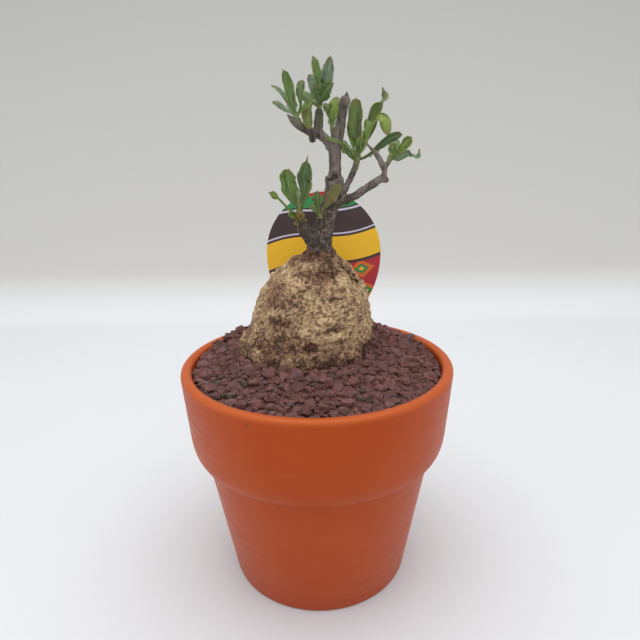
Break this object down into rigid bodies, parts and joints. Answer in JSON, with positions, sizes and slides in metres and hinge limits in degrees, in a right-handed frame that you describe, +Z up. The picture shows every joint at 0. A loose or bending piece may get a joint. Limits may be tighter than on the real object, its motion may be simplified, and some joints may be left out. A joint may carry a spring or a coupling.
{
  "type": "potted fockea",
  "caption": "Caudiciform succulent with a warty swollen base and crisped leaves, potted under lava gravel in a round collared pot, with a plant label behind it.",
  "frame": {"origin": "on the ground, under the middle of the pot", "axes": "+Z up along the pot's axis, -Y to the front, where the label stands behind the plant, +X to the right"},
  "size_m": [0.13, 0.13, 0.2449],
  "materials": {
    "pot_plastic": "satin",
    "potting_mix": "matte",
    "lava_gravel": "matte",
    "caudex_skin": "matte",
    "bark": "matte",
    "leaf": "satin",
    "young_leaf": "satin",
    "label_card": "satin"
  },
  "bodies": {
    "root": {"pot": "pot_plastic", "potting_mix": "potting_mix", "lava_gravel": "lava_gravel", "caudex": "caudex_skin", "trunk_and_branches": "bark", "leaves_low_shoot": "leaf", "leaves_trunk_sprout": "leaf", "leaves_left_branch": "leaf", "leaves_crown_shoot": "leaf", "leaves_back_shoot": "leaf", "leaves_middle_branch": "leaf", "leaves_right_spur": "young_leaf", "leaves_right_branch": "leaf", "plant_label": "label_card"}
  },
  "joints": []
}
